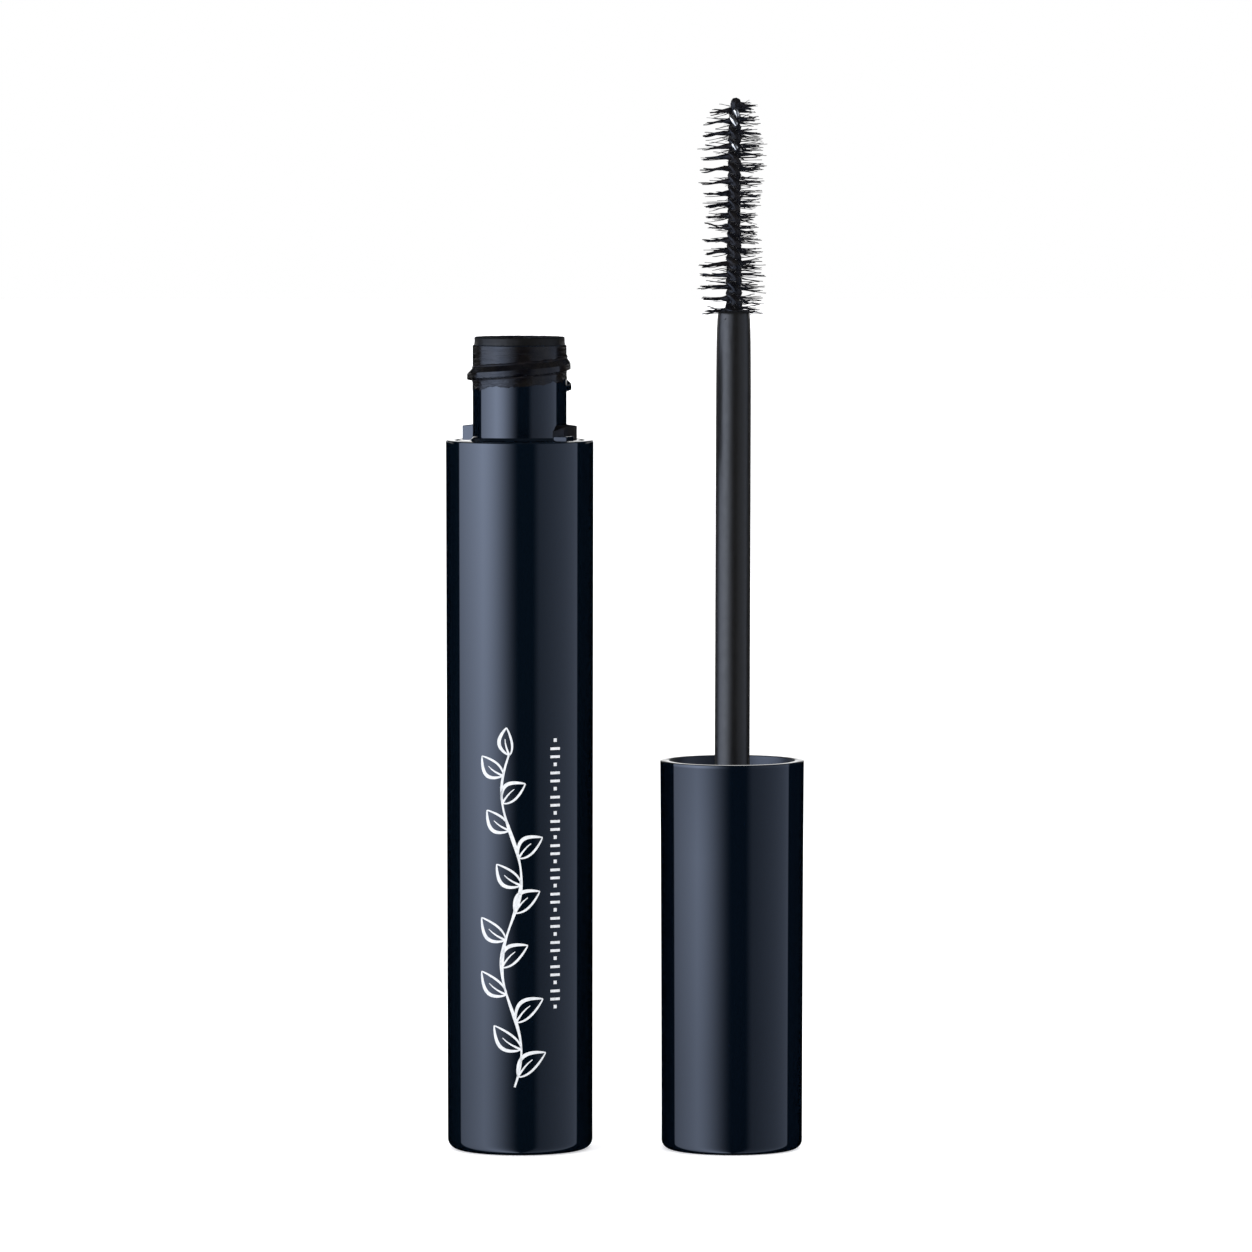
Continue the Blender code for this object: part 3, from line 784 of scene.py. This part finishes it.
def brush_radius(z, azimuth):
    """Reach of the fibres: two bulges with a waist, a little longer on the left."""
    wave = 0.5 + 0.5 * math.cos(2.0 * math.pi * (z - 114.0) / 13.6)
    left = -math.cos(math.radians(azimuth))
    top_trim = 0.55 * ease((z - 118.2) / 2.6)
    return 3.20 + 0.78 * wave + 0.28 * left - top_trim


def brush_point(r, azimuth, z):
    """A point of the brush, round its leaning core."""
    px, py = around(r, azimuth)
    return Vector((CAP_X + lean(z) + px, py, z))


def twist_azimuth(z):
    """Azimuth of the first spiral row of fibres at a height."""
    return 180.0 - 360.0 * (z - ROW_Z) / TWIST_PITCH


def make_wire():
    """One wire bent double at the tip, its two legs twisted left-handed."""
    offset, radius = 0.34, 0.31
    foot, shoulder = ROD_TOP - 5.8, 119.75
    steps = 200
    points = []
    for side, order in ((90.0, range(steps + 1)), (-90.0, range(steps, -1, -1))):
        for i in order:
            z = foot + (shoulder - foot) * i / steps
            points.append(brush_point(offset, twist_azimuth(z) + side, z))
        if side > 0.0:
            azimuth = twist_azimuth(shoulder) + 90.0
            for k in range(1, 8):
                angle = math.pi * k / 8.0
                reach = offset * math.cos(angle)
                points.append(brush_point(abs(reach), azimuth + (0.0 if reach > 0.0 else 180.0),
                                          shoulder + offset * math.sin(angle)))
    strand = [(point, radius, radius) for point in points]
    mesh = tapered_tubes("twisted_core_wire", [strand], sides=12)
    link("twisted_core_wire", mesh, steel, "cap", ["twisted_wire"])


def make_core_paste():
    """Paste round the twisted wire.  It thins out towards the tip, where bare wire shows."""
    low, high = ROD_TOP - 0.1, 120.2
    rows, segments = 300, 48
    buried_r = 0.15
    profile = [(1.0, high + (low - high) * i / rows) for i in range(rows + 1)]
    profile += [(buried_r, low), (buried_r, high)]

    def coat(azimuth, r, z):
        if r <= buried_r:
            return r, z
        across = math.radians(azimuth - twist_azimuth(z) - 90.0)
        pair = 0.65 - 0.26 * (0.5 - 0.5 * math.cos(2.0 * across))
        px, py = around(1.0, azimuth)
        lumps = rough(px, py, z, 0.9, 6.0)
        grain = rough(px, py, z, 3.2, 2.0)
        left_front = 0.5 - 0.5 * math.cos(math.radians(azimuth - 50.0))
        bare = math.exp(-((z - 119.4) / 1.3) ** 2) + 0.8 * math.exp(-((z - 115.7) / 0.45) ** 2)
        thickness = 0.12 + 0.08 * lumps + 0.04 * grain - 0.36 * bare * left_front
        thickness += 0.16 * ease((108.0 - z) / 8.0)
        root_flare = 0.35 * math.exp(-((z - ROD_TOP) / 0.4) ** 2)
        return max(0.2, pair + thickness) + root_flare, z

    mesh = turned("core_paste", profile, segments, change=coat, loop=True, sharp_deg=70.0)
    for vertex in mesh.vertices:
        vertex.co.x += (CAP_X + lean(vertex.co.z / MM)) * MM
    link("core_paste", mesh, wet_paste, "cap")


def make_tip_blob():
    """The dab of paste on the tip, a little to the right of the wire's bend."""
    shape = bmesh.new()
    bmesh.ops.create_icosphere(shape, subdivisions=5, radius=1.0)
    centre = Vector((CAP_X + BRUSH_LEAN + 0.12, -0.05, 120.62))
    for vertex in shape.verts:
        out = vertex.co.copy()
        lumps = rough(out.x, out.y, out.z, 1.4, 3.0)
        grain = rough(out.x, out.y, out.z, 4.0, 8.0)
        swell = 1.0 + 0.10 * lumps + 0.05 * grain
        tail = 1.0 - 0.25 * clamp01(-out.z)
        scaled = Vector((out.x * 0.62 * tail, out.y * 0.60 * tail, out.z * 0.74)) * swell
        scaled.z = min(scaled.z, TIP_TOP + 0.1 - centre.z)
        vertex.co = (centre + scaled) * MM
    mesh = from_bmesh("tip_paste_dab", shape, 80.0)
    link("tip_paste_dab", mesh, wet_paste, "cap", ["tip_dab"])


def strand(start, trunk, end, width, phase, wave, taper=0.55):
    """A fibre from the core through a trunk point to its tip.  Points are (r, azimuth, z)."""
    steps = 9
    points = []
    for i in range(steps + 1):
        t = i / steps
        to_trunk, to_end = ease(t / 0.45), ease((t - 0.35) / 0.65)
        r = start[0] + (end[0] - start[0]) * t
        azimuth = start[1] + (trunk[1] - start[1]) * to_trunk + (end[1] - trunk[1]) * to_end
        z = start[2] + (trunk[2] - start[2]) * to_trunk + (end[2] - trunk[2]) * to_end
        z += wave * math.sin(phase + 5.5 * t) * t
        azimuth += 40.0 * wave * math.sin(phase * 1.7 + 4.0 * t)
        girth = width * (1.0 - taper * t) * (1.0 + 0.2 * math.sin(phase * 3.0 + 11.0 * t))
        points.append((brush_point(r, azimuth, z), girth, girth))
    return points


def tuft(azimuth, z, root_width, root_height, reach, rise, droop, phase):
    """A lumpy, tapering tuft of paste along a clump of fibres."""
    steps = 14
    points = []
    for i in range(steps + 1):
        t = i / steps
        lumps = 1.0 + 0.18 * math.sin(phase + 7.0 * t) + 0.12 * math.sin(phase * 2.0 + 17.0 * t)
        thin = (1.0 - t) ** 1.1 * lumps
        height = z + rise * math.exp(-4.0 * t) + droop * t * t
        point = brush_point(0.35 + (reach - 0.35) * t, azimuth, height)
        points.append((point, root_width * thin + 0.05, root_height * thin + 0.04))
    return points


def left_clump(rng, azimuth, z, fibres, tufts):
    """A thick tuft on the left whose fibres stick together and part into a few tips."""
    reach = brush_radius(z, azimuth)
    droop = rng.uniform(-0.36, 0.0)
    trunk_azimuth = azimuth + rng.uniform(-9.0, 9.0)
    trunk = (1.7, trunk_azimuth, z + 0.4 * droop)
    tips = []
    for _ in range(rng.choice((2, 3, 3, 4))):
        tips.append((reach * rng.uniform(0.84, 1.03), trunk_azimuth + rng.uniform(-16.0, 16.0),
                     z + droop + rng.gauss(0.0, 0.20)))
    count = 20
    for i in range(count):
        offset = -52.0 + 104.0 * (i + rng.uniform(-0.3, 0.3)) / (count - 1)
        start = (0.35, azimuth + offset, z - offset / 360.0 * TWIST_PITCH + rng.gauss(0.0, 0.05))
        tip = rng.choice(tips)
        if rng.random() < 0.3:
            tip = (reach * rng.uniform(0.6, 1.04), start[1] + rng.uniform(-14.0, 14.0),
                   start[2] + rng.gauss(-0.05, 0.26))
            guide = (1.7, (start[1] + tip[1]) / 2.0, (start[2] + tip[2]) / 2.0)
        else:
            tip = (tip[0] * rng.uniform(0.86, 1.0), tip[1] + rng.gauss(0.0, 1.2),
                   tip[2] + rng.gauss(0.0, 0.03))
            guide = trunk
        width = rng.uniform(0.048, 0.068)
        fibres.append(strand(start, guide, tip, width, rng.uniform(0.0, 6.28),
                             rng.uniform(0.01, 0.05), taper=0.45))
    tufts.append(tuft(trunk_azimuth, z, 0.46, rng.uniform(0.24, 0.36), reach * rng.uniform(0.7, 0.95),
                      rng.uniform(0.05, 0.2), droop, rng.uniform(0.0, 6.28)))
    tufts.append(tuft(trunk_azimuth + rng.uniform(-22.0, 22.0), z + rng.uniform(-0.2, 0.2), 0.3, 0.2,
                      reach * rng.uniform(0.4, 0.8), 0.1, 0.6 * droop, rng.uniform(0.0, 6.28)))


def right_clump(rng, azimuth, z, fibres, tufts):
    """Scattered single fibres on the right, with a few darker bundles among them."""
    bundles = []
    for _ in range(rng.choice((2, 2, 3))):
        offset = rng.uniform(-42.0, 42.0)
        bundle_z = z - offset / 360.0 * TWIST_PITCH + rng.gauss(0.0, 0.12)
        reach = brush_radius(bundle_z, azimuth) * rng.uniform(0.72, 1.03)
        bundles.append((reach, azimuth + offset * 0.6, bundle_z + rng.gauss(-0.10, 0.18)))
        tufts.append(tuft(azimuth + offset * 0.6, bundle_z, 0.24, rng.uniform(0.08, 0.17),
                          reach * rng.uniform(0.2, 0.6), 0.05, bundles[-1][2] - bundle_z,
                          rng.uniform(0.0, 6.28)))
    count = 21
    for i in range(count):
        offset = -56.0 + 112.0 * (i + rng.uniform(-0.4, 0.4)) / (count - 1)
        start = (0.35, azimuth + offset, z - offset / 360.0 * TWIST_PITCH + rng.gauss(0.0, 0.10))
        if rng.random() < 0.25:
            near = min(bundles, key=lambda bundle: abs(bundle[2] - start[2]))
            end = (near[0] * rng.uniform(0.8, 1.0), near[1] + rng.gauss(0.0, 2.0),
                   near[2] + rng.gauss(0.0, 0.03))
            guide = (1.6, end[1], (start[2] + end[2]) / 2.0)
        else:
            reach = brush_radius(start[2], start[1]) * rng.uniform(0.62, 1.06)
            end = (reach, 0.7 * start[1] + rng.gauss(0.0, 5.0), start[2] + rng.gauss(-0.04, 0.27))
            guide = (1.7, (start[1] + end[1]) / 2.0, (start[2] + end[2]) / 2.0 + rng.gauss(0.0, 0.08))
        fibres.append(strand(start, guide, end, rng.uniform(0.046, 0.064), rng.uniform(0.0, 6.28),
                             rng.uniform(0.01, 0.07), taper=0.35))


def side_fibres(rng, azimuth, z, fibres):
    """Fibres that point towards or away from the viewer, which cover the core."""
    for i in range(9):
        offset = -34.0 + 68.0 * (i + rng.uniform(-0.4, 0.4)) / 8.0
        start = (0.35, azimuth + offset, z - offset / 360.0 * TWIST_PITCH + rng.gauss(0.0, 0.08))
        reach = brush_radius(start[2], start[1]) * rng.uniform(0.6, 1.0)
        end = (reach, azimuth + 0.55 * offset + rng.gauss(0.0, 5.0), start[2] + rng.gauss(-0.1, 0.14))
        guide = (1.6, (start[1] + end[1]) / 2.0, (start[2] + end[2]) / 2.0)
        fibres.append(strand(start, guide, end, rng.uniform(0.04, 0.055), rng.uniform(0.0, 6.28),
                             rng.uniform(0.01, 0.05)))


def make_fibres():
    """Fibres in one mesh and the paste tufts that join them in another.

    Both spiral rows pass the left, front, right and back in turn, a quarter of a pitch apart.
    """
    rng = random.Random(41)
    fibres, tufts = [], []
    rows = 18
    for k in range(rows):
        z = ROW_Z - k * TWIST_PITCH / 2.0 + rng.gauss(0.0, 0.07)
        left_clump(rng, 180.0, z, fibres, tufts)
        right_clump(rng, 0.0, z + rng.gauss(0.0, 0.1), fibres, tufts)
        quarter = TWIST_PITCH / 4.0
        for azimuth, step in ((90.0, quarter), (270.0, -quarter)):
            if BRUSH_ROOT < z + step < BRUSH_END:
                side_fibres(rng, azimuth, z + step, fibres)
    for azimuth, z, reach in ((8.0, 120.45, 2.5), (-30.0, 120.2, 2.2), (35.0, 120.75, 1.5)):
        tufts.append(tuft(azimuth, z, 0.34, 0.22, reach, 0.0, -0.05, rng.uniform(0.0, 6.28)))
    for _ in range(16):
        azimuth = rng.uniform(-70.0, 70.0)
        z = rng.uniform(120.0, 120.9)
        start = (0.2, azimuth, z)
        end = (rng.uniform(1.0, 2.9), azimuth + rng.gauss(0.0, 8.0), z + rng.gauss(0.05, 0.16))
        fibres.append(strand(start, (1.0, azimuth, z), end, 0.045, rng.uniform(0.0, 6.28), 0.04))
    mesh = tapered_tubes("bristle_fibres", fibres, sides=5)
    link("bristle_fibres", mesh, fibre, "cap", ["bristles"])
    mesh = tapered_tubes("bristle_tufts", tufts, sides=10)
    link("bristle_tufts", mesh, fibre, "cap")


# ---------------------------------------------------------------- hidden pieces

def dress_hidden():
    """CAD solids that keep their own shape get their procedural materials."""
    kept = (("mascara_fill", wet_paste), ("neck_seal", seal_grey), ("stem_residue", dry_paste))
    for node, material in kept:
        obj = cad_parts[node]
        obj.data.materials.clear()
        obj.data.materials.append(material)
        obj.visible_glossy = False


# ---------------------------------------------------------------- studio

def make_camera():
    """A long lens at the height of the brush's tip, looking slightly down."""
    camera = bpy.data.objects.new("camera", bpy.data.cameras.new("camera"))
    camera.data.sensor_width = 36.0
    camera.data.lens = 244.4
    camera.location = (CAP_X / 2.0 * MM, -0.9787, 0.1221)
    camera.rotation_euler = (math.radians(90.0 - 3.6), 0.0, 0.0)
    camera.data.clip_end = 50.0
    bpy.context.scene.collection.objects.link(camera)
    bpy.context.scene.camera = camera


def make_floor():
    """The white table, with a faint glow of its own."""
    mesh = bpy.data.meshes.new("floor")
    half, z = 4.0, -0.00002
    corners = [(-half, -half, z), (half, -half, z), (half, half, z), (-half, half, z)]
    mesh.from_pydata(corners, [], [(0, 1, 2, 3)])
    floor = bpy.data.objects.new("floor", mesh)
    bpy.context.scene.collection.objects.link(floor)
    shader = Shader("studio_floor", (0.86, 0.86, 0.86), 0.9)
    shader.drive("Base Color", shader.ramp(shader.noise(30.0), ((0.3, 0.85), (0.7, 0.87))))
    shader.main.inputs["Emission Color"].default_value = (1.0, 1.0, 1.0, 1.0)
    shader.main.inputs["Emission Strength"].default_value = 0.45
    mesh.materials.append(shader.material)
    floor.visible_glossy = False


class Softbox:
    """A broad box of light beside the object, as the gloss sees it.

    Azimuths are in degrees from the camera's side, negative to the left.  The box's outer edge
    is sharp, its inner edge fades over a wide angle, and it is evenly graded between the two.
    """

    def __init__(self, outer, fade_from, fade_to, outer_strength, inner_strength, foot_share):
        self.outer = math.radians(outer)
        self.fade_from = math.radians(fade_from)
        self.fade_to = math.radians(fade_to)
        self.outer_strength = outer_strength
        self.inner_strength = inner_strength
        self.foot_share = foot_share


# The key box on the left and a weaker one on the right, with a dark camera bay between them.
KEY_BOX = Softbox(-108.0, -60.0, 0.0, 1.8, 5.0, 0.5)
FILL_BOX = Softbox(102.0, 35.0, 20.0, 1.0, 0.4, 0.8)
BOX_TINT = (0.80, 0.95, 1.30)
EDGE_WIDTH = math.radians(2.0)


def make_studio():
    """The world: white to the camera, soft white to matte surfaces, softboxes to gloss."""
    world = bpy.data.worlds.new("studio")
    bpy.context.scene.world = world
    world.use_nodes = True
    world.cycles.sampling_method = "NONE"
    nodes, links = world.node_tree.nodes, world.node_tree.links
    nodes.clear()

    def math_node(operation, first, second):
        node = nodes.new("ShaderNodeMath")
        node.operation = operation
        for socket, value in zip(node.inputs, (first, second)):
            if isinstance(value, float):
                socket.default_value = value
            else:
                links.new(value, socket)
        return node.outputs[0]

    def mix_colour(factor, first, second):
        node = nodes.new("ShaderNodeMix")
        node.data_type = "RGBA"
        links.new(factor, node.inputs["Factor"])
        for socket, value in ((node.inputs["A"], first), (node.inputs["B"], second)):
            if isinstance(value, tuple):
                socket.default_value = (*value, 1.0)
            else:
                links.new(value, socket)
        return node.outputs["Result"]

    def clamped(first, slope, offset):
        """slope * first + offset, held between 0 and 1."""
        node = nodes.new("ShaderNodeMath")
        node.operation = "MULTIPLY_ADD"
        node.use_clamp = True
        links.new(first, node.inputs[0])
        node.inputs[1].default_value = slope
        node.inputs[2].default_value = offset
        return node.outputs[0]

    direction = nodes.new("ShaderNodeTexCoord").outputs["Generated"]
    split = nodes.new("ShaderNodeSeparateXYZ")
    links.new(direction, split.inputs[0])
    sideways, depth, height = split.outputs
    azimuth = math_node("ARCTAN2", sideways, math_node("MULTIPLY", depth, -1.0))

    def ranged(value, start, end, first, last, interpolation="LINEAR"):
        """first up to last as value goes from start to end, held outside them."""
        node = nodes.new("ShaderNodeMapRange")
        node.interpolation_type = interpolation
        links.new(value, node.inputs["Value"])
        numbers = {"From Min": start, "From Max": end, "To Min": first, "To Max": last}
        for socket, number in numbers.items():
            node.inputs[socket].default_value = number
        return node.outputs["Result"]

    def lit(box):
        edge = EDGE_WIDTH if box.outer > 0.0 else -EDGE_WIDTH
        inside = ranged(azimuth, box.outer + edge, box.outer, 0.0, 1.0)
        faded = ranged(azimuth, box.fade_to, box.fade_from, 0.0, 1.0, "SMOOTHSTEP")
        graded = ranged(azimuth, box.outer, box.fade_from, box.outer_strength, box.inner_strength)
        at_foot = ranged(near_floor, 0.0, 1.0, 1.0, box.foot_share)
        return math_node("MULTIPLY", math_node("MULTIPLY", inside, faded),
                         math_node("MULTIPLY", graded, at_foot))

    # The object's foot mirrors rays that head further down, to the boxes' dimmer lower ends.
    near_floor = clamped(height, -13.2, -0.57)
    strength = math_node("ADD", lit(KEY_BOX), lit(FILL_BOX))
    tinted = nodes.new("ShaderNodeVectorMath")
    tinted.operation = "SCALE"
    tinted.inputs[0].default_value = BOX_TINT
    links.new(strength, tinted.inputs["Scale"])
    boxes = mix_colour(clamped(height, 6.0, -1.5), tinted.outputs["Vector"], (0.06, 0.07, 0.09))
    # A white strip behind the object, just above the horizon.
    backdrop = math_node("MULTIPLY", clamped(depth, 6.0, -3.4), clamped(height, 60.0, 0.0))
    backdrop = math_node("MULTIPLY", backdrop, clamped(height, -20.0, 2.4))
    glossy_view = mix_colour(backdrop, boxes, (1.3, 1.3, 1.3))

    path = nodes.new("ShaderNodeLightPath")
    soft = mix_colour(path.outputs["Is Glossy Ray"], (1.30, 1.30, 1.32), glossy_view)
    seen = mix_colour(path.outputs["Is Camera Ray"], soft, (1.0, 1.0, 1.0))
    background = nodes.new("ShaderNodeBackground")
    links.new(seen, background.inputs["Color"])
    output = nodes.new("ShaderNodeOutputWorld")
    links.new(background.outputs[0], output.inputs["Surface"])


def make_lights():
    """Two dim softboxes for the matte pieces; the world gives the gloss its reflections."""
    for name, x, y, z, power, size in (("key_softbox", -0.55, -0.55, 0.35, 2.2, 0.5),
                                       ("fill_softbox", 0.6, -0.5, 0.3, 0.8, 0.5)):
        data = bpy.data.lights.new(name, "AREA")
        data.energy = power
        data.size = size
        light = bpy.data.objects.new(name, data)
        light.location = (x, y, z)
        target = Vector((CAP_X / 2.0 * MM, 0.0, 0.06))
        light.rotation_euler = (target - light.location).to_track_quat("-Z", "Y").to_euler()
        light.visible_camera = False
        light.visible_glossy = False
        bpy.context.scene.collection.objects.link(light)


make_camera()
make_studio()
make_lights()
make_floor()
bpy.context.scene.view_settings.view_transform = "Standard"

make_sleeve()
make_neck()
make_lugs()
make_thread_grime()
make_neck_smears()
make_wiper()
make_ornament()
make_cap_shell()
make_inner_cap()
make_rod()
make_wire()
make_core_paste()
make_tip_blob()
make_fibres()
dress_hidden()
